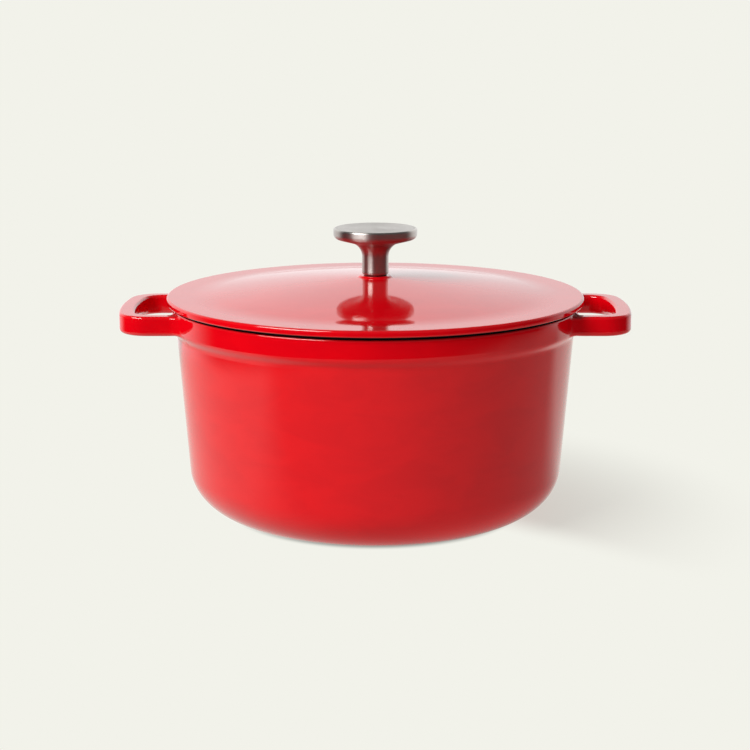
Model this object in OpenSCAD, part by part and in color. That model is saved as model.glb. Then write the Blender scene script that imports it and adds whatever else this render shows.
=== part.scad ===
// Round cast iron dutch oven with two cast loop handles and a lift-off lid.
// Millimetres, +Z up. The origin is the centre of the underside, where the pot stands.

/* [Pot] */
// Diameter over the rim band
rim_d = 256.2; // [210:0.1:310]
// Height of the rim above the table
pot_h = 134; // [110:0.5:165]
// Diameter of the flat that the pot stands on
base_d = 160; // [130:1:180]
// Height of the rounded lower corner
corner_h = 28.7; // [20:0.1:40]
// How far the wall leans out from vertical, in degrees
draft = 4.56; // [2:0.01:7]
// Thickness of the side wall
wall_t = 4; // [3:0.1:6]
// Thickness of the bottom
floor_t = 5; // [4:0.1:8]

/* [Rim band] */
// Height of the thickened band round the rim
band_h = 12; // [10:0.5:16]
// How far the band stands proud of the wall, at the rim
band_proud = 1.6; // [1:0.1:3]
// How far the band's face leans out from vertical, in degrees
band_draft = 1; // [0:0.1:4]
// Height of the soft step from the wall out to the band
band_step_h = 6; // [2:0.1:9]
// Radius of the rim's outer edge
rim_outer_round = 1.5; // [0.5:0.1:2]
// Radius of the rim's inner edge
rim_inner_round = 1; // [0.5:0.1:1.5]

/* [Handles] */
// How far a handle reaches out from the rim band
handle_reach = 32.2; // [25:0.1:38]
// Width of the handle's bar, seen from above
bar_w = 8.8; // [7:0.1:11]
// Thickness of the handle's bar, top to bottom
bar_h = 12.3; // [9:0.1:15]
// How far the handle's top face lies below the rim
handle_drop = 1.6; // [1:0.1:4]
// Radius of the handle's outer corners, seen from above
handle_corner = 18.4; // [15:0.1:24]
// Distance between the centres of those corners
handle_span = 52.4; // [42:0.1:62]
// How far the handle's outer end bows out between its corners
handle_bow = 2; // [0.5:0.1:4]
// Radius of the bar's upper edges
bar_top_round = 1.8; // [1:0.1:2.5]
// Radius of the bar's lower edges
bar_bottom_round = 2.6; // [1:0.1:3]
// Radius of the fillet outside each arm's root
root_outer = 10; // [6:0.5:12]
// Radius of the fillet inside each arm's root
root_inner = 6; // [4:0.5:8]

/* [Lid] */
// How far the lid's edge reaches past the rim band
lid_overhang = 2.9; // [1.5:0.1:4]
// Thickness of the lid
lid_t = 4.2; // [3.5:0.1:6]
// Gap between the rim and the overhanging edge of the lid
edge_gap = 1.5; // [1:0.1:2.5]
// Width of the lid's flat brim
brim_w = 13; // [10:0.5:18]
// Radius of the hollow curve between the brim and the dome
cove_r = 118; // [80:1:140]
// Slope at the foot of the dome, in degrees
dome_slope = 7.8; // [6:0.1:10]
// Slope where the dome meets the crown, in degrees
crown_slope = 4; // [3:0.1:5]
// Radius of the crown round the knob
crown_r = 12; // [10:0.5:16]
// Radius of the lid's upper edge
lid_top_round = 1.5; // [0.5:0.1:2]
// Radius of the lid's lower edge
lid_bottom_round = 1; // [0.5:0.1:1.5]
// Depth of the ring that centres the lid inside the rim
ring_depth = 4; // [3:0.1:6]
// Thickness of that ring
ring_t = 3; // [2:0.1:4]
// Clearance between that ring and the inside of the rim
ring_clear = 1.2; // [0.8:0.1:2]

/* [Knob] */
// Diameter of the knob's head
head_d = 52.6; // [42:0.1:64]
// Height of the straight side of the head, edge roundings included
head_side = 7; // [6:0.1:9]
// Height of the whole knob
knob_h = 29.2; // [28:0.1:36]
// Diameter of the stem
stem_d = 16.7; // [14.5:0.1:20]
// Slope of the head's underside, in degrees
head_slope = 15; // [10:0.5:18]
// Radius of the fillet between the stem and the head
neck_r = 9; // [6:0.1:9.5]
// Radius of the head's upper edge
head_top_round = 1.2; // [0.5:0.1:2]
// Radius of the head's lower edge
head_bottom_round = 3.4; // [2:0.1:4]
// Chamfer round the foot of the stem
stem_chamfer = 0.8; // [0.3:0.1:1.2]
// Thickness of the gasket under the stem
gasket_t = 0.7; // [0.5:0.1:1.5]
// How far the gasket stays inside the stem's foot
gasket_inset = 0.4; // [0.2:0.1:1]

/* [Knob fastening] */
// Diameter of the screw's thread
screw_d = 6; // [5:0.1:7]
// Length of thread held in the stem
thread_grip = 11; // [8:0.5:13]
// Diameter of the screw's head
screw_head_d = 12; // [10:0.1:13]
// Height of the screw's head
screw_head_h = 3.7; // [3:0.1:4.5]
// Thickness of the flat washer
washer_t = 1.2; // [1:0.1:2]
// Diameter of the flat washer
washer_d = 18; // [15:0.5:20]
// Thickness of the split washer
lock_t = 1.6; // [1.2:0.1:2]
// Width of the split washer's section
lock_w = 2.4; // [1.8:0.1:2.6]
// Width of the split in it
lock_split = 1.4; // [1:0.1:2]
// Height of the raised pad under the knob
boss_h = 0.8; // [0.4:0.1:1.5]
// Diameter of that pad
boss_d = 20.6; // [18:0.1:23]
// Height of the pad under the lid that the washer bears on
pad_h = 1.6; // [1:0.1:3]
// Diameter of the pad under the lid
pad_d = 26; // [22:0.5:32]
// Radial clearance round the screw where it passes through a hole
hole_clear = 0.5; // [0.3:0.1:1]
// Radial clearance between the screw's thread and the tapped stem
thread_clear = 0.05; // [0.02:0.01:0.1]

/* [Hidden] */
$fn = 96;
ARC = 8;            // straight steps in a small rounded edge
CURVE = 16;         // straight steps in a long curve

// Pot
rim_r = rim_d / 2;
base_r = base_d / 2;
lean = tan(draft);
corner_w = wall_r(0) - base_r;
band_z = pot_h - band_h;
rim_inner_r = wall_r(pot_h) - wall_t;

// Handle
corner_x = rim_r + handle_reach - handle_bow - handle_corner;
corner_y = handle_span / 2;
// The end is an arc that runs into both corners: its radius as far as their centres, and half its angle
end_r = (pow(corner_y, 2) + pow(handle_bow, 2)) / (2 * handle_bow);
end_turn = asin(corner_y / end_r);
bar_mid_r = handle_corner - bar_w / 2;
bar_top_z = pot_h - handle_drop;
bar_mid_z = bar_top_z - bar_h / 2;
arm_len = handle_reach - handle_bow + bar_w;
root_wall_r = band_r(bar_mid_z);

// Lid
lid_r = rim_r + lid_overhang;
lid_edge_z = pot_h + edge_gap;
brim_z = lid_edge_z + lid_t;
brim_r = lid_r - brim_w;
cove_in_r = brim_r - cove_r * sin(dome_slope);
dome_r = (cove_in_r - crown_r) / (sin(dome_slope) - sin(crown_slope));
crown_curve_r = crown_r / sin(crown_slope);
dome_foot_z = brim_z + cove_r * (1 - cos(dome_slope));
crown_z = dome_foot_z + dome_r * (cos(crown_slope) - cos(dome_slope));
apex_z = crown_z + crown_curve_r * (1 - cos(crown_slope));
ring_r = rim_inner_r - ring_clear;
seat_r = rim_r - rim_outer_round;

// Knob and its fastening
gasket_z = apex_z + boss_h;
knob_z = gasket_z + gasket_t;
stem_r = stem_d / 2;
gasket_r = stem_r - stem_chamfer - gasket_inset;
screw_r = screw_d / 2;
hole_r = screw_r + hole_clear;
pad_z = apex_z - lid_t - pad_h;
washer_z = pad_z - washer_t;
lock_z = washer_z - lock_t;
screw_tip_z = knob_z + thread_grip;
tapped_depth = thread_grip + screw_r;

// Points along an arc, from angle a0 to a1
function arc(x, y, r, a0, a1, n = ARC) =
    [for (i = [0:n]) let (a = a0 + (a1 - a0) * i / n) [x + r * cos(a), y + r * sin(a)]];

// Radius of the leaning wall's outer face at height z
function wall_r(z) = rim_r - band_proud - lean * (pot_h - z);

// The lower corner is a quarter ellipse sheared by the wall's lean, so it runs into the wall and the bottom
function corner(width, low, high) =
    [for (i = [0:CURVE]) let (t = 90 * i / CURVE, z = low + (high - low) * (1 - cos(t)))
        [base_r + width * sin(t) + lean * z, z]];

// Radius of the band's outer face at height z
function band_r(z) = rim_r - tan(band_draft) * (pot_h - rim_outer_round - z);

// The step from the wall out to the band rises as half a cosine wave
function band_step() =
    [for (i = [0:ARC]) let (s = i / ARC, z = band_z - band_step_h * (1 - s))
        [wall_r(z) + (band_r(z) - wall_r(z)) * (1 - cos(180 * s)) / 2, z]];

// Upper face of the lid, from the brim in to the axis: hollow curve, dome, crown
function lid_top(drop) = concat(
    [for (i = [0:CURVE]) let (a = dome_slope * i / CURVE)
        [brim_r - cove_r * sin(a), brim_z - drop + cove_r * (1 - cos(a))]],
    [for (i = [1:CURVE]) let (a = dome_slope + (crown_slope - dome_slope) * i / CURVE)
        [dome_r * (sin(a) - sin(crown_slope)) + crown_r,
         crown_z - drop + dome_r * (cos(a) - cos(crown_slope))]],
    [for (i = [1:ARC]) let (a = crown_slope * (1 - i / ARC))
        [crown_curve_r * sin(a), apex_z - drop - crown_curve_r * (1 - cos(a))]]);

// Solid of the pot's outer shape, before it is hollowed
module pot_outside() {
    rotate_extrude() polygon(concat(
        [[0, 0]],
        corner(corner_w, 0, corner_h),
        band_step(),
        arc(rim_r - rim_outer_round, pot_h - rim_outer_round, rim_outer_round, 0, 90),
        [[0, pot_h]]));
}

// Hollow of the pot, open past the rim
module pot_hollow() {
    rotate_extrude() polygon(concat(
        [[0, floor_t]],
        corner(corner_w - wall_t, floor_t, corner_h),
        arc(rim_inner_r + rim_inner_round, pot_h - rim_inner_round, rim_inner_round, 180, 90),
        [[rim_inner_r + rim_inner_round, pot_h + 1], [0, pot_h + 1]]));
}

// Cross-section of a handle's bar, centred, with its outer side at +X
module bar_section() {
    x = bar_w / 2;
    y = bar_h / 2;
    polygon(concat(
        arc(x - bar_top_round, y - bar_top_round, bar_top_round, 0, 90, 6),
        arc(bar_top_round - x, y - bar_top_round, bar_top_round, 90, 180, 6),
        arc(bar_bottom_round - x, bar_bottom_round - y, bar_bottom_round, 180, 270, 6),
        arc(x - bar_bottom_round, bar_bottom_round - y, bar_bottom_round, 270, 360, 6)));
}

// Fillet between one side of an arm and the wall. The arm's side lies at y, and `side` is 1 for the
// side that faces away from the finger gap and -1 for the side that faces it
module root_fillet(y, side, radius) {
    centre_y = y + side * radius;
    centre = [sqrt(pow(root_wall_r + radius, 2) - pow(centre_y, 2)), centre_y];
    on_arm = [centre.x, y];
    on_wall = centre * root_wall_r / (root_wall_r + radius);
    inside = [-wall_t / 2, 0];
    translate([0, 0, bar_top_z - bar_h + bar_bottom_round])
        linear_extrude(bar_h - bar_bottom_round - bar_top_round) difference() {
            polygon([on_arm, centre, on_wall, on_wall + inside,
                     [on_wall.x, y - side] + inside, on_arm - [0, side]]);
            translate(centre) circle(radius);
        }
}

// One half of the handle at +X: half of the end bar, a corner, an arm and its root
module handle_half() {
    translate([corner_x - end_r * cos(end_turn), 0, bar_mid_z])
        rotate_extrude(angle = end_turn) translate([end_r + bar_mid_r, 0]) bar_section();
    translate([corner_x, corner_y, bar_mid_z]) {
        rotate(end_turn) rotate_extrude(angle = 90 - end_turn) translate([bar_mid_r, 0]) bar_section();
        translate([-arm_len, bar_mid_r, 0]) rotate([90, 0, 90])
            linear_extrude(arm_len) bar_section();
    }
    root_fillet(corner_y + handle_corner, 1, root_outer);
    root_fillet(corner_y + handle_corner - bar_w, -1, root_inner);
}

module handle() {
    handle_half();
    mirror([0, 1, 0]) handle_half();
}

// The casting: vessel, rim band and both handles in one piece
module pot() {
    color("#C8101C") difference() {
        union() {
            pot_outside();
            handle();
            mirror([1, 0, 0]) handle();
        }
        pot_hollow();
    }
}

// Brim and dome of the lid, of even thickness
module lid_shell() {
    upper = lid_top(0);
    rotate_extrude() polygon(concat(
        [for (i = [1:len(upper)]) upper[len(upper) - i]],
        arc(lid_r - lid_top_round, brim_z - lid_top_round, lid_top_round, 90, 0),
        arc(lid_r - lid_bottom_round, lid_edge_z + lid_bottom_round, lid_bottom_round, 0, -90),
        lid_top(lid_t)));
}

// Land that sits on the rim, and the ring inside it that centres the lid
module lid_seat() {
    root_z = lid_edge_z + lid_t / 2;
    land_r = seat_r + edge_gap;
    inner_r = ring_r - ring_t;
    low = pot_h - ring_depth;
    rotate_extrude() polygon([
        [inner_r, root_z], [land_r, root_z], [land_r, lid_edge_z], [seat_r, pot_h], [ring_r, pot_h],
        [ring_r, low + 1], [ring_r - 1, low], [inner_r, low]]);
}

// The lid: one casting, with a pad above for the knob and a pad below for the washer
module lid() {
    color("#D8202A") difference() {
        union() {
            lid_shell();
            lid_seat();
            translate([0, 0, crown_z]) cylinder(h = gasket_z - crown_z, d = boss_d);
            translate([0, 0, pad_z]) cylinder(h = lid_t, d = pad_d);
        }
        translate([0, 0, pad_z - 1]) cylinder(h = gasket_z - pad_z + 2, r = hole_r);
    }
}

// The knob: a mushroom head on a stem, tapped from below
module knob() {
    head_r = head_d / 2;
    top = knob_z + knob_h;
    side_low = top - head_side;
    edge_x = head_r - head_bottom_round;
    edge_z = side_low + head_bottom_round;
    neck_x = stem_r + neck_r;
    // Height of the neck fillet's centre, where the sloping underside is tangent to both curves
    slope_x = edge_x + head_bottom_round * sin(head_slope);
    slope_z = edge_z - head_bottom_round * cos(head_slope);
    touch_x = neck_x - neck_r * sin(head_slope);
    neck_z = slope_z - (slope_x - touch_x) * tan(head_slope) - neck_r * cos(head_slope);
    color("#C9C7C4") difference() {
        rotate_extrude() polygon(concat(
            [[0, knob_z], [stem_r - stem_chamfer, knob_z], [stem_r, knob_z + stem_chamfer]],
            arc(neck_x, neck_z, neck_r, 180, 90 + head_slope),
            arc(edge_x, edge_z, head_bottom_round, head_slope - 90, 0),
            arc(head_r - head_top_round, top - head_top_round, head_top_round, 0, 90),
            [[0, top]]));
        translate([0, 0, knob_z - 1]) cylinder(h = tapped_depth + 1, r = screw_r + thread_clear);
    }
}

// A flat ring with its underside at height z
module ring(z, height, outer_r, inner_r) {
    translate([0, 0, z]) difference() {
        cylinder(h = height, r = outer_r);
        translate([0, 0, -1]) cylinder(h = height + 2, r = inner_r);
    }
}

module knob_gasket() {
    color("#2A2A2A") ring(gasket_z, gasket_t, gasket_r, hole_r);
}

module knob_washer() {
    color("#B5B7B9") ring(washer_z, washer_t, washer_d / 2, hole_r);
}

// Split spring washer, flat under load, cut through on its +X side
module lock_washer() {
    lock_r = screw_r + hole_clear + lock_w;
    color("#9C9EA0") difference() {
        ring(lock_z, lock_t, lock_r, hole_r);
        translate([0, -lock_split / 2, lock_z - 1]) cube([lock_r + 1, lock_split, lock_t + 2]);
    }
}

// Pan-head screw with a cross recess in its head, pointing up
module knob_screw() {
    round_r = screw_head_h * 0.6;
    recess_w = screw_head_d * 0.11;
    recess_l = screw_head_d * 0.5;
    color("#A9ABAD") difference() {
        union() {
            translate([0, 0, lock_z - screw_head_h]) rotate_extrude() polygon(concat(
                arc(screw_head_d / 2 - round_r, round_r, round_r, -90, 0),
                [[screw_head_d / 2, screw_head_h], [0, screw_head_h], [0, 0]]));
            translate([0, 0, lock_z - 0.5]) cylinder(h = screw_tip_z - lock_z + 0.5 - 1, r = screw_r);
            translate([0, 0, screw_tip_z - 1]) cylinder(h = 1, r1 = screw_r, r2 = screw_r - 0.7);
        }
        for (turn = [0, 90])
            rotate(turn) translate([-recess_l / 2, -recess_w / 2, lock_z - screw_head_h - 1])
                cube([recess_l, recess_w, screw_head_h * 0.6 + 1]);
    }
}

pot();
lid();
knob();
knob_gasket();
knob_screw();
knob_washer();
lock_washer();
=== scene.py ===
import bpy
import numpy as np
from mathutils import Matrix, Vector


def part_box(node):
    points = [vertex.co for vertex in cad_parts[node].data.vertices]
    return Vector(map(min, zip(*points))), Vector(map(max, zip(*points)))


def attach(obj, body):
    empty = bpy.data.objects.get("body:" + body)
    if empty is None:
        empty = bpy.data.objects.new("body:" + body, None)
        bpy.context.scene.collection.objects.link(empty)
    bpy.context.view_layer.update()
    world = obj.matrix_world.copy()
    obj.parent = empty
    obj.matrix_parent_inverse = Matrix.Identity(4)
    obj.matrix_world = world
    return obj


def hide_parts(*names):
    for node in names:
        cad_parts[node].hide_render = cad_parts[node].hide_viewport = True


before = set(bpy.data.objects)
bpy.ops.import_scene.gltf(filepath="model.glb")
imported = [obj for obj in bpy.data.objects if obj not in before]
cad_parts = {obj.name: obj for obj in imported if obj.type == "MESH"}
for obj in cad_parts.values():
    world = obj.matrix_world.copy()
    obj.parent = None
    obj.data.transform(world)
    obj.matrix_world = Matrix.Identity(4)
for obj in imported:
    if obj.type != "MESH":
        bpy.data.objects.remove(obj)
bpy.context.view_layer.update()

# ---------------------------------------------------------------------------------------------------------
# The pot. One iron casting: a drafted round wall, a thick band round the rim and two loop handles, all
# poured together and blended with soft fillets. It is coated in fused glass enamel: red outside, cream
# inside, with the matte black ground coat left bare on the rim. Everything here is in metres.
# ---------------------------------------------------------------------------------------------------------


def arc(x, z, radius, start, end, steps):
    """Points on a circle round (x, z), from angle start to angle end in degrees, in equal steps."""
    a = np.radians(np.linspace(start, end, steps + 1))
    return np.column_stack([x + radius * np.cos(a), z + radius * np.sin(a)])


def line(a, b, steps):
    """Points from a to b in equal steps, both ends included."""
    return np.linspace(a, b, steps + 1)


def chain(*stretches):
    """Joins stretches of points end to end, leaving out each point that repeats the one before it."""
    points = np.vstack(stretches)
    gap = np.linalg.norm(np.diff(points, axis=0), axis=1)
    return points[np.concatenate([[True], gap > 1e-7])]


def turned(profile, turns):
    """Each point (r, z) of a profile turned about Z to every angle: (r cos a, r sin a, z)."""
    a = 2 * np.pi * np.arange(turns) / turns
    r, z = profile[:, :1], profile[:, 1:]
    return np.stack([r * np.cos(a), r * np.sin(a), np.broadcast_to(z, (len(z), turns))], axis=-1)


def band_faces(below, above):
    """Quads between two rows of vertex numbers, each row closing on itself."""
    return np.column_stack([below, np.roll(below, -1), np.roll(above, -1), above])


def make_piece(name, points, faces, materials, finish=None):
    """A mesh object at the origin, smooth all over. finish gives each face the number of its material."""
    mesh = bpy.data.meshes.new(name)
    mesh.from_pydata(points.tolist(), [], faces)
    mesh.polygons.foreach_set("use_smooth", np.ones(len(mesh.polygons), bool))
    for material in materials:
        mesh.materials.append(material)
    if finish is not None:
        mesh.polygons.foreach_set("material_index", np.asarray(finish, np.int32))
    mesh.validate()
    mesh.update()
    piece = bpy.data.objects.new(name, mesh)
    bpy.context.scene.collection.objects.link(piece)
    return piece


pot_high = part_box("pot")[1]
rim_z = pot_high.z
rim_r = pot_high.y
handle_end = pot_high.x

base_r = 0.080
corner_h = 0.0287
wall_lean = np.tan(np.radians(4.56))
wall_t = 0.004
floor_t = 0.005
band_h = 0.012
band_proud = 0.0016
band_lean = np.tan(np.radians(1))
band_step_h = 0.006
rim_outer_round = 0.0015
rim_inner_round = 0.001
band_z = rim_z - band_h


def wall_r(z):
    """Radius of the wall's outer face: it leans out by the same amount for each unit of height."""
    return rim_r - band_proud - wall_lean * (rim_z - z)


def lower_corner(width, low, high, steps):
    """Quarter ellipse sheared by the wall's lean: r = base + width sin t + lean z, and z = low + rise times
    (1 - cos t)."""
    t = np.linspace(0, np.pi / 2, steps + 1)
    z = low + (high - low) * (1 - np.cos(t))
    return np.column_stack([base_r + width * np.sin(t) + wall_lean * z, z])


corner_w = wall_r(0) - base_r
rim_inner_r = wall_r(rim_z) - wall_t

# The step out to the band rises as half a cosine wave
step_steps = 24
step_z = line(band_z - band_step_h, band_z, step_steps)
step_rise = (1 - np.cos(np.pi * (step_z - step_z[0]) / band_step_h)) / 2
band_r = rim_r - band_lean * (rim_z - rim_outer_round - step_z)
band_step = np.column_stack([wall_r(step_z) + (band_r - wall_r(step_z)) * step_rise, step_z])

# Outer face from the corner's top to the crest of the rim, as a fine line that the handles' roots are laid
# on. Its second point is the foot of the step.
edge_steps = 40
outer_line = chain(
    [[wall_r(corner_h), corner_h]],
    band_step,
    arc(rim_r - rim_outer_round, rim_z - rim_outer_round, rim_outer_round, 0, 90, edge_steps),
)
outer_length = np.concatenate([[0], np.cumsum(np.linalg.norm(np.diff(outer_line, axis=0), axis=1))])
step_length, band_length, edge_length = outer_length[[1, 1 + step_steps, -1 - edge_steps]]


def on_outer(length):
    """Point (r, z) at that length along the outer face."""
    return np.stack([np.interp(length, outer_length, outer_line[:, i]) for i in (0, 1)], axis=-1)


# Rows of the turned grid: the stretch that holds the handles' roots is closer set where the step and edge are
root_low_z = 0.1115
root_edge_turn = np.radians(52)
root_lengths = np.concatenate([
    line(np.interp(root_low_z, outer_line[:, 1], outer_length), step_length, 3),
    line(step_length, band_length, 8)[1:],
    line(band_length, edge_length, 8)[1:],
    line(edge_length, edge_length + rim_outer_round * root_edge_turn, 4)[1:],
])
root_rows = len(root_lengths) - 1
base_steps, corner_steps, wall_steps = 10, 30, 25
crest_steps, rim_steps, lip_steps = 4, 3, 6
pot_profile = chain(
    line((0, 0), (base_r, 0), base_steps),
    lower_corner(corner_w, 0, corner_h, corner_steps),
    on_outer(line(0, root_lengths[0], wall_steps)),
    on_outer(root_lengths),
    on_outer(line(root_lengths[-1], outer_length[-1], crest_steps)),
    line((rim_r - rim_outer_round, rim_z), (rim_inner_r + rim_inner_round, rim_z), rim_steps),
    arc(rim_inner_r + rim_inner_round, rim_z - rim_inner_round, rim_inner_round, 90, 180, lip_steps),
    line((rim_inner_r, rim_z - rim_inner_round), (wall_r(corner_h) - wall_t, corner_h), 16),
    lower_corner(corner_w - wall_t, floor_t, corner_h, 24)[::-1],
    line((base_r + wall_lean * floor_t, floor_t), (0, floor_t), 8),
)
first_root_row = base_steps + corner_steps + wall_steps
turns = 360
grid = turned(pot_profile[1:-1], turns)
rows = len(grid)
number = 1 + np.arange(rows * turns).reshape(rows, turns)
bottom_pole, floor_pole = 0, 1 + rows * turns


# The bar's section has as many points as the edge of the opening that a root leaves in the turned grid:
# root_columns along its top and bottom, and root_rows up each side
root_columns = 14
root_first_degree = 11
bar_h = 0.0123
handle_drop = 0.0016
bar_mid_z = rim_z - handle_drop - bar_h / 2
bar_top_round = 0.0018
bar_bottom_round = 0.0026
bar_inner_bulge = 0.0004


def bar_section(half_w):
    """Rounded rectangle (across, up), from its upper outer corner over the top. Its inner side is slightly
    full: it bulges by a cosine of the height."""
    x, z, t, b = half_w, bar_h / 2, bar_top_round, bar_bottom_round
    loop = chain(
        arc(x - t, z - t, t, 45, 90, 4),
        line((x - t, z), (t - x, z), 6),
        arc(t - x, z - t, t, 90, 180, 8),
        line((-x, z - t), (-x, b - z), root_rows - 8),
        arc(b - x, b - z, b, 180, 270, 8),
        line((b - x, -z), (x - b, -z), 6),
        arc(x - b, b - z, b, 270, 360, 8),
        line((x, b - z), (x, z - t), root_rows - 8),
        arc(x - t, z - t, t, 0, 45, 4),
    )[:-1]
    inward = np.clip(-loop[:, 0] / x, 0, 1)
    loop[:, 0] -= bar_inner_bulge * inward * np.cos(np.pi / 2 * loop[:, 1] / z)
    return loop


# The handle seen from above has an outer and an inner outline. The inner one's corners are a little rounder.
handle_bow = 0.002
outer_corner_r, inner_corner_r = 0.0184, 0.0115
outer_side_y, inner_side_y = 0.0446, 0.0364
end_bar_w = 0.0100


def half_outline(end, side_y, radius):
    """From an arm's end on: a round corner, then half of the bowed end. The bow's arc, carried in by the
    corner's radius, has the radius (y^2 + bow^2) / (2 bow), where y is the height of the corner's centre."""
    corner_y = side_y - radius
    bow_r = (corner_y ** 2 + handle_bow ** 2) / (2 * handle_bow)
    bow_turn = np.degrees(np.arcsin(corner_y / bow_r))
    return chain(
        arc(end - handle_bow - radius, corner_y, radius, 90, bow_turn, 14),
        arc(end - radius - bow_r, 0, bow_r + radius, bow_turn, 0, 7))


outer_line_xy = half_outline(handle_end, outer_side_y, outer_corner_r)
inner_line_xy = half_outline(handle_end - end_bar_w, inner_side_y, inner_corner_r)


def bar_ring(outer, inner):
    """The bar's section stood upright between one point of the outer outline and one of the inner."""
    half_w = np.linalg.norm(outer - inner) / 2
    section = bar_section(half_w)
    across = section[:, :1] / half_w
    middle, reach = (outer + inner) / 2, (outer - inner) / 2
    return np.column_stack([middle + across * reach, bar_mid_z + section[:, 1]])


bend_rings = np.array([bar_ring(o, i) for o, i in zip(outer_line_xy, inner_line_xy)])

# An arm's root. Each point of the section is carried straight in to the wall, and a round fillet joins the
# two: its radius is wide outside the arm and under it, less on the side of the finger gap, small on top.
fillet_outer, fillet_inner, fillet_top, fillet_under = 0.0095, 0.0062, 0.0011, 0.0055
arm_half_w = (outer_side_y - inner_side_y) / 2
arm_section = bar_section(arm_half_w)
section_step = np.roll(arm_section, -1, axis=0) - np.roll(arm_section, 1, axis=0)
section_out = np.column_stack([section_step[:, 1], -section_step[:, 0]])
section_out = section_out / np.linalg.norm(section_out, axis=1, keepdims=True)


def on_wall(angle, length):
    """Points of the wall at an angle round the pot and a length along its outer face."""
    r, z = on_outer(length).T
    return np.column_stack([r * np.cos(angle), r * np.sin(angle), z])


def wall_frame(angle, length):
    """Directions round the wall, up it and out of it, at each point."""
    step = 2e-5
    up = on_outer(length + step) - on_outer(length - step)
    up = up / np.linalg.norm(up, axis=1, keepdims=True)
    c, s = np.cos(angle), np.sin(angle)
    round_it = np.column_stack([-s, c, np.zeros_like(c)])
    up_it = np.column_stack([up[:, 0] * c, up[:, 0] * s, up[:, 1]])
    return round_it, up_it, np.cross(round_it, up_it)


arm_y = (outer_side_y + inner_side_y) / 2 + arm_section[:, 0]
foot_length = np.interp(bar_mid_z + arm_section[:, 1], outer_line[:, 1], outer_length)
foot_angle = np.arcsin(arm_y / on_outer(foot_length)[:, 0])
foot = on_wall(foot_angle, foot_length)
round_it, up_it, _ = wall_frame(foot_angle, foot_length)
side_radius = np.where(section_out[:, 0] > 0, fillet_outer, fillet_inner)
level_radius = np.where(section_out[:, 1] > 0, fillet_top, fillet_under)
spread = section_out * np.column_stack([side_radius, level_radius])
heading = spread / np.linalg.norm(spread, axis=1, keepdims=True)
away = heading[:, :1] * round_it + heading[:, 1:] * up_it
spread = spread / np.tan(np.arccos(away[:, :1]) / 2)
wall_angle = foot_angle + spread[:, 0] / on_outer(foot_length)[:, 0]
wall_length = foot_length + spread[:, 1]
wall_point = on_wall(wall_angle, wall_length)
out_of_wall = wall_frame(wall_angle, wall_length)[2]
along_arm = np.array([1.0, 0.0, 0.0])
crease = foot + along_arm * (np.sum((wall_point - foot) * out_of_wall, axis=1) / out_of_wall[:, 0])[:, None]
tangent = np.linalg.norm(crease - wall_point, axis=1, keepdims=True)
arm_point = crease + along_arm * tangent
half_angle = np.arccos((wall_point - crease) @ along_arm / tangent[:, 0])[:, None] / 2
weight = np.sin(half_angle)

# The fillet is a circle's arc: a rational curve of second degree from the wall to the arm
t = np.linspace(0, 1, 10)[1:, None, None]
fillet_rings = ((1 - t) ** 2 * wall_point + 2 * t * (1 - t) * weight * crease + t ** 2 * arm_point) / (
    (1 - t) ** 2 + 2 * t * (1 - t) * weight + t ** 2
)

# Round the fillet, the wall is laid again from the opening's edge in to where the fillet leaves it
row_of = np.concatenate([
    np.full(root_columns, root_rows), np.arange(root_rows, 0, -1),
    np.zeros(root_columns, int), np.arange(root_rows)])
column_of = np.concatenate([
    np.arange(root_columns, 0, -1), np.zeros(root_rows, int),
    np.arange(root_columns), np.full(root_rows, root_columns)])
opening_angle = np.radians(root_first_degree + column_of)
opening_length = root_lengths[row_of]
wall_rings = np.array([
    on_wall(opening_angle * (1 - s) + wall_angle * s, opening_length * (1 - s) + wall_length * s)
    for s in np.linspace(0, 1, 6)[1:]
])

arm_rings = arm_point + np.linspace(0, 1, 5)[1:-1, None, None] * (bend_rings[0] - arm_point)
half_handle = np.concatenate([wall_rings, fillet_rings, arm_rings, bend_rings])
handle_rings = np.concatenate([half_handle, half_handle[-2::-1] * [1, -1, 1]])

# Number every point and take the four roots' openings out of the turned grid
bottom_root_row = first_root_row - 1
kept = np.ones((rows - 1, turns), bool)
points = [[[0, 0, 0]], grid.reshape(-1, 3), [[0, 0, floor_t]]]
count = 2 + rows * turns
pot_faces = []
for side in (1, -1):
    openings = []
    for half in (1, -1):
        degree = half * (root_first_degree + column_of)
        column = (degree if side == 1 else 180 - degree) % turns
        openings.append(number[bottom_root_row + row_of, column])
        first = min(half * root_first_degree, half * (root_first_degree + root_columns))
        first = first if side == 1 else 180 - first - root_columns
        columns = (first + np.arange(root_columns)) % turns
        kept[np.ix_(np.arange(bottom_root_row, bottom_root_row + root_rows), columns)] = False
    ring_numbers = count + np.arange(handle_rings[..., 0].size).reshape(handle_rings.shape[:2])
    count += ring_numbers.size
    points.append((handle_rings * [side, 1, 1]).reshape(-1, 3))
    all_rings = np.vstack([openings[:1], ring_numbers, openings[1:]])
    quads = np.vstack([band_faces(a, b) for a, b in zip(all_rings[:-1], all_rings[1:])])
    pot_faces.append(quads if side == 1 else quads[:, ::-1])

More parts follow.
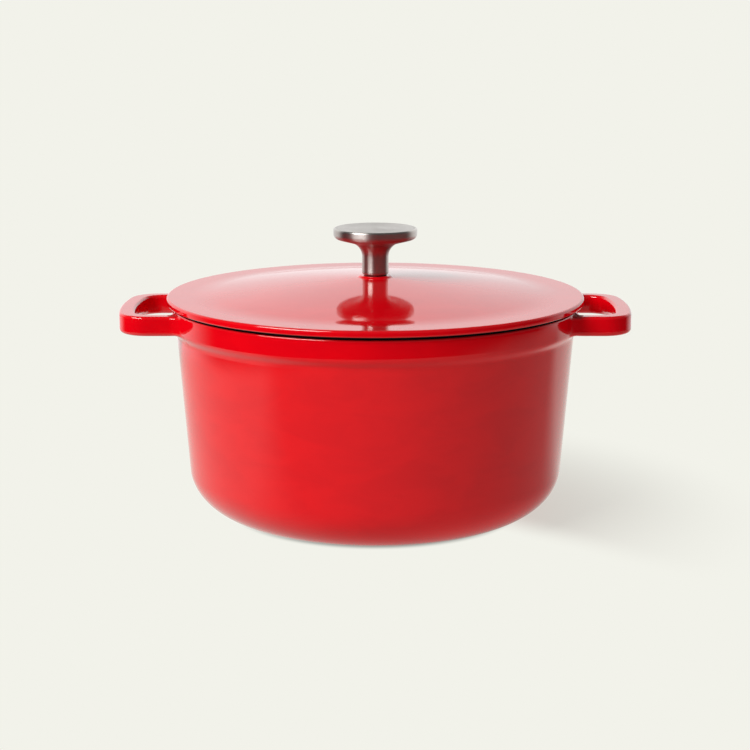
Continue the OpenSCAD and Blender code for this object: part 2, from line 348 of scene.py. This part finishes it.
rim_black_row = first_root_row + root_rows
rim_cream_row = rim_black_row + crest_steps + rim_steps + lip_steps
face_row, face_column = np.nonzero(kept)
right = (face_column + 1) % turns
grid_quads = np.column_stack([
    number[face_row, face_column], number[face_row, right],
    number[face_row + 1, right], number[face_row + 1, face_column]])
bottom_fan = np.column_stack([np.full(turns, bottom_pole), np.roll(number[0], -1), number[0]])
floor_fan = np.column_stack([np.full(turns, floor_pole), number[-1], np.roll(number[-1], -1)])
RED, BLACK, CREAM = 0, 1, 2
grid_finish = np.where(
    face_row + 1 < rim_black_row, RED, np.where(face_row + 1 < rim_cream_row, BLACK, CREAM))
handle_quads = np.vstack(pot_faces)
pot_finish = np.concatenate([
    grid_finish, np.full(len(handle_quads), RED), np.full(turns, RED), np.full(turns, CREAM)
])
pot_quads = np.vstack([grid_quads, handle_quads])
pot_points = np.concatenate(points)
# The openings leave points over that no face uses, so the ones in use are numbered again
fans = np.vstack([bottom_fan, floor_fan])
used, renumbered = np.unique(np.concatenate([pot_quads.ravel(), fans.ravel()]), return_inverse=True)
pot_face_list = (
    renumbered[:pot_quads.size].reshape(-1, 4).tolist() + renumbered[pot_quads.size:].reshape(-1, 3).tolist())


def linear(hex_colour):
    """sRGB hex to linear red, green, blue and full alpha: c / 12.92 up to 0.04045, and above that
    ((c + 0.055) / 1.055) to the power 2.4."""
    c = np.array([int(hex_colour[i:i + 2], 16) for i in (1, 3, 5)]) / 255
    return (*np.where(c <= 0.04045, c / 12.92, ((c + 0.055) / 1.055) ** 2.4), 1.0)


def new_material(name):
    """An empty node material; returns it and its Principled shader, which is already joined to the output."""
    material = bpy.data.materials.new(name)
    material.use_nodes = True
    shader = next(n for n in material.node_tree.nodes if n.type == "BSDF_PRINCIPLED")
    return material, shader


def join(material, node, sockets):
    """Sets each named or numbered input of a node to a value, or links an output to it."""
    for socket, value in sockets.items():
        if isinstance(value, bpy.types.NodeSocket):
            material.node_tree.links.new(value, node.inputs[socket])
        else:
            node.inputs[socket].default_value = value


def add(material, kind, sockets=None, **settings):
    """Adds a node with its own settings and its inputs' values and links."""
    node = material.node_tree.nodes.new(kind)
    for name, value in settings.items():
        setattr(node, name, value)
    join(material, node, sockets or {})
    return node


def glaze(name, colour, deep_colour, rough_low, rough_high, wave_height):
    """Vitreous enamel: glass fused to iron. The eye sees a deep even colour under a hard clear gloss that
    is very slightly wavy, with soft cloudy patches where the coat is thicker."""
    material, shader = new_material(name)
    place = add(material, "ShaderNodeTexCoord").outputs["Object"]
    # Cloudy patches about 35 mm across, drawn out along the sweep of the spray
    patches = add(material, "ShaderNodeMapping", {"Vector": place, "Scale": (1.0, 1.0, 2.2)})
    cloud = add(material, "ShaderNodeTexNoise", {
        "Vector": patches.outputs[0], "Scale": 1 / 0.035, "Detail": 3.0, "Roughness": 0.55,
        "Distortion": 0.6})
    tint = add(material, "ShaderNodeMapRange", {
        "Value": cloud.outputs[0], "From Min": 0.35, "From Max": 0.68}, interpolation_type="SMOOTHSTEP")
    mix = add(material, "ShaderNodeMix", {0: tint.outputs[0], 6: linear(colour), 7: linear(deep_colour)},
              data_type="RGBA")
    gloss = add(material, "ShaderNodeMapRange", {
        "Value": cloud.outputs[0], "From Min": 0.3, "From Max": 0.7,
        "To Min": rough_low, "To Max": rough_high})
    # The glaze's own waves are about 9 mm long, with fine orange peel 2 mm across on them
    waves = add(material, "ShaderNodeTexNoise", {"Vector": place, "Scale": 1 / 0.009, "Detail": 1.0})
    peel = add(material, "ShaderNodeTexNoise", {"Vector": place, "Scale": 1 / 0.002, "Detail": 1.0})
    relief = add(material, "ShaderNodeMath", {0: peel.outputs[0], 1: 0.12, 2: waves.outputs[0]},
                 operation="MULTIPLY_ADD")
    bump = add(material, "ShaderNodeBump", {
        "Height": relief.outputs[0], "Strength": 1.0, "Distance": wave_height})
    join(material, shader, {
        "Base Color": mix.outputs[2], "Roughness": gloss.outputs[0], "Normal": bump.outputs[0], "IOR": 1.52})
    return material


red_enamel = glaze("red_vitreous_enamel", "#D2020F", "#CB000E", 0.055, 0.08, 0.8e-5)
cream_enamel = glaze("cream_vitreous_enamel", "#EADFC9", "#E3D6BC", 0.08, 0.14, 1.0e-5)


def ground_coat():
    """Matte black ground coat: the first, porous enamel layer, left bare. It looks like dark eggshell."""
    material, shader = new_material("black_ground_coat")
    place = add(material, "ShaderNodeTexCoord").outputs["Object"]
    # Grains of 0.8 mm, about twice their real size, so that they show at all
    grain = add(material, "ShaderNodeTexNoise", {"Vector": place, "Scale": 1 / 0.0008, "Detail": 2.0})
    tint = add(material, "ShaderNodeMix", {0: grain.outputs[0], 6: linear("#0A0A0B"), 7: linear("#1B1A1A")},
               data_type="RGBA")
    bump = add(material, "ShaderNodeBump", {"Height": grain.outputs[0], "Strength": 0.6, "Distance": 6e-5})
    join(material, shader, {
        "Base Color": tint.outputs[2], "Roughness": 0.42, "Normal": bump.outputs[0], "IOR": 1.5})
    return material


black_enamel = ground_coat()

pot = make_piece(
    "pot_casting", pot_points[used], pot_face_list, [red_enamel, black_enamel, cream_enamel], pot_finish)
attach(pot, "pot")
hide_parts("pot")

# ---------------------------------------------------------------------------------------------------------
# The lid. A second iron casting: a flat brim, a hollow curve up to a very low dome, and a round pad in the
# middle that the knob stands on. Underneath, a land sits on the rim, a ring inside it centres the lid, and
# a thicker pad takes the screw's washer. Red on top, cream below, bare ground coat where it meets the rim.
# ---------------------------------------------------------------------------------------------------------
lid_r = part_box("lid")[1].x
lid_t = 0.0042
edge_gap = 0.0015
edge_z = rim_z + edge_gap
brim_z = edge_z + lid_t
brim_w = 0.013
brim_r = lid_r - brim_w
cove_r = 0.118
dome_slope, crown_slope = np.radians([7.8, 4.0])
crown_r = 0.012
pad_top_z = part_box("knob_gasket")[0].z
pad_r = 0.0103
pad_soft = 0.0011
hole_r = 0.0035
under_pad_r = 0.013
under_pad_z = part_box("knob_washer")[1].z
ring_clear = 0.0012
ring_r = rim_inner_r - ring_clear
ring_t = 0.003
ring_in_r = ring_r - ring_t
ring_fillet, ring_low_round, ring_root_gap = 0.0012, 0.001, 0.0004
ring_low_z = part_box("lid")[0].z
seat_r = rim_r - rim_outer_round
edge_top_round, edge_low_round = 0.0015, 0.001
soft_edge = 0.0005

dome_foot_r = brim_r - cove_r * np.sin(dome_slope)
dome_r = (dome_foot_r - crown_r) / (np.sin(dome_slope) - np.sin(crown_slope))
crown_curve_r = crown_r / np.sin(crown_slope)
dome_foot_z = brim_z + cove_r * (1 - np.cos(dome_slope))
crown_z = dome_foot_z + dome_r * (np.cos(crown_slope) - np.cos(dome_slope))
apex_z = crown_z + crown_curve_r * (1 - np.cos(crown_slope))


def lid_curve(drop):
    """The lid's section from the brim in to the crown's edge: hollow arc up to the steepest slope, then the
    long arc of the dome, which eases to the crown's slope. drop lowers it to give the underside."""
    a = np.linspace(0, dome_slope, 25)
    hollow = np.column_stack([brim_r - cove_r * np.sin(a), brim_z + cove_r * (1 - np.cos(a))])
    a = np.linspace(dome_slope, crown_slope, 41)
    dome = np.column_stack([
        crown_r + dome_r * (np.sin(a) - np.sin(crown_slope)),
        crown_z + dome_r * (np.cos(a) - np.cos(crown_slope))])
    return chain(hollow, dome) - [0, drop]


def crown_height(r):
    """Height of the crown at radius r: a shallow round arc."""
    return apex_z - crown_curve_r + np.sqrt(crown_curve_r ** 2 - r ** 2)


# The pad rises out of the crown as half a cosine wave
crown_line_r = np.linspace(crown_r, hole_r + soft_edge, 34)
rise = np.clip((pad_r + pad_soft - crown_line_r) / (2 * pad_soft), 0, 1)
rise = (1 - np.cos(np.pi * rise)) / 2
crown_line = np.column_stack([crown_line_r, crown_height(crown_line_r) * (1 - rise) + pad_top_z * rise])

under_line = lid_curve(lid_t)[::-1]
under_line = under_line[
    (under_line[:, 0] > under_pad_r + soft_edge) & (under_line[:, 0] < ring_in_r - ring_fillet)]
lid_under = chain(
    arc(hole_r + soft_edge, under_pad_z + soft_edge, soft_edge, 180, 270, 3),
    line((hole_r + soft_edge, under_pad_z), (under_pad_r - soft_edge, under_pad_z), 3),
    arc(under_pad_r - soft_edge, under_pad_z + soft_edge, soft_edge, 270, 360, 3),
    arc(under_pad_r + soft_edge, under_line[0, 1] - soft_edge, soft_edge, 180, 90, 3),
    under_line,
    arc(ring_in_r - ring_fillet, edge_z - ring_fillet, ring_fillet, 90, 0, 4))
lid_ring = chain(
    arc(ring_in_r + soft_edge, ring_low_z + soft_edge, soft_edge, 180, 270, 3),
    arc(ring_r - ring_low_round, ring_low_z + ring_low_round, ring_low_round, 270, 360, 4),
    [[ring_r, rim_z]],
    line((ring_r + ring_root_gap, rim_z), (seat_r, rim_z), 3),
    line((seat_r + edge_gap, edge_z), (lid_r - edge_low_round, edge_z), 3))
lid_edge = chain(
    arc(lid_r - edge_low_round, edge_z + edge_low_round, edge_low_round, 270, 360, 8),
    arc(lid_r - edge_top_round, brim_z - edge_top_round, edge_top_round, 0, 90, 14))
lid_top = chain(
    line((lid_r - edge_top_round, brim_z), (brim_r, brim_z), 8), lid_curve(0), crown_line,
    arc(hole_r + soft_edge, pad_top_z - soft_edge, soft_edge, 90, 180, 3))
lid_profile = chain(lid_under, lid_ring, lid_edge, lid_top)
# The cream ends in the round of the ring's lower outer edge, and the red begins in that of the lid's edge
black_from = len(lid_under) + 6
red_from = len(chain(lid_under, lid_ring)) + 3


def turned_piece(name, profile, turns, materials, finish_from=()):
    """A profile turned right round Z and joined end to end. Where it starts and ends on the axis, a fan of
    triangles closes it there. finish_from lists the rows at which each next material begins."""
    on_axis = profile[0, 0] < 1e-7
    ring = profile[1:-1] if on_axis else profile
    rings = len(ring)
    number = np.arange(rings * turns).reshape(rings, turns)
    points = turned(ring, turns).reshape(-1, 3)
    above = number[1:] if on_axis else np.roll(number, -1, axis=0)
    quads = np.stack([
        number[:len(above)], np.roll(number[:len(above)], -1, axis=1),
        np.roll(above, -1, axis=1), above], axis=-1)
    faces = quads.reshape(-1, 4).tolist()
    row = np.repeat(np.arange(len(above)), turns)
    finish = np.searchsorted(finish_from, row, side="right")
    if on_axis:
        first, last = number[0], number[-1]
        low, high = len(points), len(points) + 1
        points = np.vstack([points, [0, 0, profile[0, 1]], [0, 0, profile[-1, 1]]])
        faces += np.column_stack([np.full(turns, low), np.roll(first, -1), first]).tolist()
        faces += np.column_stack([np.full(turns, high), last, np.roll(last, -1)]).tolist()
        finish = np.concatenate([finish, np.zeros(turns, int), np.full(turns, len(finish_from))])
    return make_piece(name, points, faces, materials, finish)


lid = turned_piece(
    "lid_casting", lid_profile, turns, [cream_enamel, black_enamel, red_enamel], [black_from, red_from])
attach(lid, "lid")
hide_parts("lid")

# ---------------------------------------------------------------------------------------------------------
# The knob. Solid stainless steel turned on a lathe: a flat-topped mushroom head, a hollow neck and a plain
# stem, tapped from below. Its sides are brushed along the turning, and its top is faced off in fine rings.
# ---------------------------------------------------------------------------------------------------------
knob_low, knob_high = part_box("knob")
head_r = knob_high.x
knob_top_z = knob_high.z
foot_z = knob_low.z
stem_r = 0.00835
tapped_r = 0.00305
tapped_depth = 0.014
tapped_bevel, foot_bevel = 0.0004, 0.0008
neck_r = 0.009
head_side = 0.007
head_slope = np.radians(15)
head_low_round = 0.0034
head_top_round = 0.0012

# The sloping underside is tangent to the neck's hollow arc and to the round at the head's edge
head_corner_r = head_r - head_low_round
head_corner_z = knob_top_z - head_side + head_low_round
slope_r = head_corner_r + head_low_round * np.sin(head_slope)
slope_z = head_corner_z - head_low_round * np.cos(head_slope)
neck_centre_r = stem_r + neck_r
touch_r = neck_centre_r - neck_r * np.sin(head_slope)
neck_centre_z = slope_z - (slope_r - touch_r) * np.tan(head_slope) - neck_r * np.cos(head_slope)
neck_arc = arc(neck_centre_r, neck_centre_z, neck_r, 180, 105, 24)
head_low_arc = arc(head_corner_r, head_corner_z, head_low_round, -75, 0, 14)
top_steps = 24
knob_profile = chain(
    line((0, foot_z + tapped_depth), (tapped_r, foot_z + tapped_depth), 2),
    line((tapped_r, foot_z + tapped_depth), (tapped_r, foot_z + tapped_bevel), 6),
    line((tapped_r + tapped_bevel, foot_z), (stem_r - foot_bevel, foot_z), 4),
    line((stem_r - foot_bevel, foot_z), (stem_r, foot_z + foot_bevel), 3),
    line((stem_r, foot_z + foot_bevel), neck_arc[0], 10),
    neck_arc,
    line(neck_arc[-1], head_low_arc[0], 10),
    head_low_arc,
    line(head_low_arc[-1], (head_r, knob_top_z - head_top_round), 5),
    arc(head_r - head_top_round, knob_top_z - head_top_round, head_top_round, 0, 90, 9),
    line((head_r - head_top_round, knob_top_z), (0, knob_top_z), top_steps),
)


def turned_steel(name, colour, low_rough, high_rough, ring_pitch, streak_height, anisotropy=0.9):
    """Lathe-turned stainless steel. Rings a fraction of a millimetre apart spread the shine across them, by
    as much as the anisotropy says, so the steel shows soft bright and dark sweeps from edge to edge."""
    material, shader = new_material(name)
    place = add(material, "ShaderNodeTexCoord").outputs["Object"]
    across = add(material, "ShaderNodeVectorMath", {0: place, 1: (1.0, 1.0, 0.0)}, operation="MULTIPLY")
    radius = add(material, "ShaderNodeVectorMath", {0: across.outputs[0]}, operation="LENGTH")
    height = add(material, "ShaderNodeSeparateXYZ", {0: place})
    # Each ring has its own depth: noise over radius and height alone, the same all the way round
    ring_place = add(material, "ShaderNodeCombineXYZ", {0: radius.outputs["Value"], 2: height.outputs[2]})
    rings = add(material, "ShaderNodeTexNoise", {
        "Vector": ring_place.outputs[0], "Scale": 1 / ring_pitch, "Detail": 2.0, "Roughness": 0.7})
    # Short broken strokes of the abrasive along the turning, and wide faint handling marks
    strokes = add(material, "ShaderNodeTexNoise", {"Vector": place, "Scale": 1 / 0.0035, "Detail": 3.0})
    marks = add(material, "ShaderNodeTexNoise", {"Vector": place, "Scale": 1 / 0.012, "Detail": 2.0})
    gloss = add(material, "ShaderNodeMath", {0: rings.outputs[0], 1: 0.6, 2: marks.outputs[0]},
                operation="MULTIPLY_ADD")
    rough = add(material, "ShaderNodeMapRange", {
        "Value": gloss.outputs[0], "From Min": 0.55, "From Max": 1.05,
        "To Min": low_rough, "To Max": high_rough})
    tone = add(material, "ShaderNodeMix", {
        0: rings.outputs[0], 6: linear(colour), 7: linear("#A5A19B")}, data_type="RGBA")
    relief = add(material, "ShaderNodeMath", {0: strokes.outputs[0], 1: 0.25, 2: rings.outputs[0]},
                 operation="MULTIPLY_ADD")
    bump = add(material, "ShaderNodeBump", {
        "Height": relief.outputs[0], "Strength": 1.0, "Distance": streak_height})
    turning = add(material, "ShaderNodeTangent", direction_type="RADIAL", axis="Z")
    join(material, shader, {
        "Base Color": tone.outputs[2], "Metallic": 1.0, "Roughness": rough.outputs[0],
        "Normal": bump.outputs[0], "Tangent": turning.outputs[0],
        "Anisotropic": anisotropy, "Anisotropic Rotation": 0.25})
    return material


brushed_steel = turned_steel("brushed_stainless_steel", "#C6C1BC", 0.32, 0.42, 0.00035, 4e-6)
faced_steel = turned_steel("faced_stainless_steel", "#C8C4BF", 0.36, 0.44, 0.00035, 4e-6, 0.3)
top_from = len(knob_profile) - 2 - top_steps
knob = turned_piece("knob_turning", knob_profile, 240, [brushed_steel, faced_steel], [top_from])
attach(knob, "lid")
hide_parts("knob")

# ---------------------------------------------------------------------------------------------------------
# The knob's gasket. A thin moulded ring of black silicone rubber between the steel stem and the enamel, so
# that neither chips the other. It sits just inside the stem's foot and shows as a dark line.
# ---------------------------------------------------------------------------------------------------------
gasket_low, gasket_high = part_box("knob_gasket")
gasket_soft = 0.00015
gasket_out_r, gasket_in_r = gasket_high.x, hole_r
gasket_profile = chain(
    arc(gasket_in_r + gasket_soft, gasket_low.z + gasket_soft, gasket_soft, 180, 270, 3),
    arc(gasket_out_r - gasket_soft, gasket_low.z + gasket_soft, gasket_soft, 270, 360, 3),
    arc(gasket_out_r - gasket_soft, gasket_high.z - gasket_soft, gasket_soft, 0, 90, 3),
    arc(gasket_in_r + gasket_soft, gasket_high.z - gasket_soft, gasket_soft, 90, 180, 3))


def moulded_silicone():
    """Matte black silicone: a soft even sheen from the mould's fine blasted skin."""
    material, shader = new_material("moulded_silicone")
    place = add(material, "ShaderNodeTexCoord").outputs["Object"]
    skin = add(material, "ShaderNodeTexNoise", {"Vector": place, "Scale": 1 / 0.0004, "Detail": 2.0})
    tint = add(material, "ShaderNodeMix", {0: skin.outputs[0], 6: linear("#151516"), 7: linear("#232324")},
               data_type="RGBA")
    bump = add(material, "ShaderNodeBump", {"Height": skin.outputs[0], "Strength": 0.5, "Distance": 2e-5})
    join(material, shader, {
        "Base Color": tint.outputs[2], "Roughness": 0.6, "Normal": bump.outputs[0], "IOR": 1.41})
    return material


gasket = turned_piece("gasket_moulding", gasket_profile, 96, [moulded_silicone()])
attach(gasket, "lid")
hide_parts("knob_gasket")

# ---------------------------------------------------------------------------------------------------------
# The knob's fastening, under the lid. A stainless pan-head screw goes up through a split lock washer and a
# flat washer into the stem. The solids' own shapes stay, in bright rolled steel: the screw is smoother, and
# the washers carry the stamping's fine grain.
# ---------------------------------------------------------------------------------------------------------
screw_steel = turned_steel("machined_stainless_steel", "#C3C2C0", 0.22, 0.34, 0.0002, 3e-6)
washer_steel = turned_steel("stamped_stainless_steel", "#B9B9B8", 0.28, 0.42, 0.0005, 5e-6)
fastening = {"knob_screw": screw_steel, "knob_washer": washer_steel, "lock_washer": washer_steel}
for node, steel in fastening.items():
    for slot in bpy.data.objects[node].material_slots:
        slot.material = steel

# ---------------------------------------------------------------------------------------------------------
# The setting. A plain pale sweep of painted board, with light set as a studio lights glossy cookware: a large
# softbox in front on the left, bright paper behind and above, and an unlit room in front. The board glows
# evenly by its own emission, with a painted shadow round the foot. The glaze mirrors a separate glowing round
# of board, seen only in reflections and with painted shade in front and to the right; it ends half a metre in
# front, so the wall reflects it and the rim band reflects the dark room.
# ---------------------------------------------------------------------------------------------------------
pale = "#F2F2EA"


def board(name, size, z, material):
    """A level square of board round the origin, at height z."""
    corners = np.array([[-1, -1], [1, -1], [1, 1], [-1, 1]]) * size / 2
    piece = make_piece(name, np.column_stack([corners, np.full(4, z)]), [[0, 1, 2, 3]], [material])
    return piece


# The board takes the pot's real shadow on the side away from the softbox; elsewhere it takes no shadow and
# glows evenly by its own emission
paint, paint_shader = new_material("painted_board")
board_place = add(paint, "ShaderNodeTexCoord").outputs["Object"]
tooth = add(paint, "ShaderNodeTexNoise", {"Vector": board_place, "Scale": 1 / 0.02, "Detail": 3.0})
board_r = add(paint, "ShaderNodeVectorMath", {0: board_place}, operation="LENGTH").outputs["Value"]
near = add(paint, "ShaderNodeMapRange", {
    "Value": board_r, "From Min": 0.1, "From Max": 0.26, "To Min": 1.0, "To Max": 0.0},
    interpolation_type="SMOOTHSTEP")
across = add(paint, "ShaderNodeVectorMath", {0: board_place, 1: (1.0, 1.0, 0.0)}, operation="DOT_PRODUCT")
far_side = add(paint, "ShaderNodeMapRange", {
    "Value": across.outputs["Value"], "From Min": 0.02, "From Max": 0.08}, interpolation_type="SMOOTHSTEP")
shade = add(paint, "ShaderNodeMath", {0: near.outputs[0], 1: far_side.outputs[0]}, operation="MULTIPLY")
tint = add(paint, "ShaderNodeMix", {0: tooth.outputs[0], 6: linear("#7D7D79"), 7: linear("#7B7B77")},
           data_type="RGBA")
shaded = add(paint, "ShaderNodeMix", {0: shade.outputs[0], 6: linear("#000000"), 7: tint.outputs[2]},
             data_type="RGBA")
# The board's glow stands in for lamp light: full where it takes no shadow, turned down where real light and
# shadow add the rest
board_glow = add(paint, "ShaderNodeMapRange", {"Value": shade.outputs[0], "To Min": 1.0, "To Max": 0.655})
# A painted shadow runs round the foot as a dark line: the board's glow is dimmed there
painted_contact_shadow = add(paint, "ShaderNodeMapRange", {
    "Value": board_r, "From Min": 0.083, "From Max": 0.095, "To Min": 0.2, "To Max": 1.0},
    interpolation_type="SMOOTHSTEP")
glowing = add(paint, "ShaderNodeMath", {0: board_glow.outputs[0], 1: painted_contact_shadow.outputs[0]}, operation="MULTIPLY")
join(paint, paint_shader, {
    "Base Color": shaded.outputs[2], "Roughness": 1.0, "Specular IOR Level": 0.0,
    "Emission Color": linear(pale), "Emission Strength": glowing.outputs[0]})
floor = board("board", 12, -2e-4, paint)
floor.visible_glossy = False

# What the glaze mirrors is a smaller round of board, set a little to the right and back. It glows by its own
# emission and only reflections see it.
round_paint, round_shader = new_material("glowing_round_board")
round_place = add(round_paint, "ShaderNodeTexCoord").outputs["Object"]
round_middle = (0.13, 0.05, 0.0)
from_middle = add(
    round_paint, "ShaderNodeVectorMath", {0: round_place, 1: round_middle}, operation="DISTANCE")
ends = add(round_paint, "ShaderNodeMapRange", {
    "Value": from_middle.outputs["Value"], "From Min": 0.54, "From Max": 0.62, "To Min": 1.0, "To Max": 0.0},
    interpolation_type="SMOOTHSTEP")
# Painted shade: in front and to the right the round's glow is turned down, standing in for the pot keeping
# the light off it
painted_shade_side = add(
    round_paint, "ShaderNodeVectorMath", {0: round_place, 1: (-0.55, 1.0, 0.0)}, operation="DOT_PRODUCT")
painted_shade_glow = add(round_paint, "ShaderNodeMapRange", {
    "Value": painted_shade_side.outputs["Value"], "From Min": -0.12, "From Max": 0.0, "To Min": 0.42, "To Max": 1.0},
    interpolation_type="SMOOTHSTEP")
join(round_paint, round_shader, {
    "Base Color": linear("#000000"), "Roughness": 1.0, "Specular IOR Level": 0.0, "Alpha": ends.outputs[0],
    "Emission Color": linear(pale), "Emission Strength": painted_shade_glow.outputs[0]})
round_board = board("round_board", 4, -1e-4, round_paint)
for ray in ("camera", "diffuse", "transmission", "shadow"):
    setattr(round_board, "visible_" + ray, False)


def softbox(name, place, aim, size, power):
    """An area light of the given width and height in metres, turned to face a point."""
    lamp = bpy.data.lights.new(name, "AREA")
    lamp.shape = "RECTANGLE"
    lamp.size, lamp.size_y = size
    lamp.energy = power
    box = bpy.data.objects.new(name, lamp)
    bpy.context.scene.collection.objects.link(box)
    box.location = place
    box.rotation_euler = (Vector(aim) - Vector(place)).to_track_quat("-Z", "Y").to_euler()
    return box


softbox("key_softbox", (-1.39, -1.17, 1.45), (0, 0, 0.08), (1.4, 0.8), 62)

world = bpy.data.worlds.new("studio_room")
bpy.context.scene.world = world
world.use_nodes = True
room = next(n for n in world.node_tree.nodes if n.type == "BACKGROUND")
direction = add(world, "ShaderNodeTexCoord").outputs["Generated"]
split = add(world, "ShaderNodeSeparateXYZ", {0: direction})
paper = add(world, "ShaderNodeMapRange", {
    "Value": split.outputs[2], "From Min": 0.08, "From Max": 0.45, "To Min": 1.25, "To Max": 1.55})
backward = add(world, "ShaderNodeVectorMath", {0: direction, 1: (0.0, 1.0, 0.0)}, operation="DOT_PRODUCT")
behind = add(world, "ShaderNodeMapRange", {
    "Value": backward.outputs["Value"], "From Min": 0.15, "From Max": 0.65}, interpolation_type="SMOOTHSTEP")
above = add(world, "ShaderNodeMapRange", {
    "Value": split.outputs[2], "From Min": -0.03, "From Max": 0.03, "To Min": 0.01, "To Max": 0.15},
    interpolation_type="SMOOTHSTEP")
overhead = add(world, "ShaderNodeMapRange", {
    "Value": split.outputs[2], "From Min": 0.42, "From Max": 0.72, "To Min": 1.0, "To Max": 0.12},
    interpolation_type="SMOOTHSTEP")
sheet = add(world, "ShaderNodeMath", {0: paper.outputs[0], 1: overhead.outputs[0]}, operation="MULTIPLY")
glow = add(world, "ShaderNodeMix", {0: behind.outputs[0], 2: above.outputs[0], 3: sheet.outputs[0]})
seen = add(world, "ShaderNodeLightPath").outputs["Is Camera Ray"]
level = add(world, "ShaderNodeMix", {0: seen, 2: glow.outputs[0], 3: 1.0})
tone = add(world, "ShaderNodeMix", {0: seen, 6: linear("#F1F1F1"), 7: linear(pale)}, data_type="RGBA")
join(world, room, {"Color": tone.outputs[2], "Strength": level.outputs[0]})

camera_lens = bpy.data.cameras.new("camera")
camera_lens.lens = 93.76
camera = bpy.data.objects.new("camera", camera_lens)
bpy.context.scene.collection.objects.link(camera)
camera.location = (-0.0002, -1.2164, 0.3424)
camera.rotation_euler = (np.radians(90 - 11.86), 0, 0)
bpy.context.scene.camera = camera
bpy.context.scene.view_settings.view_transform = "Standard"
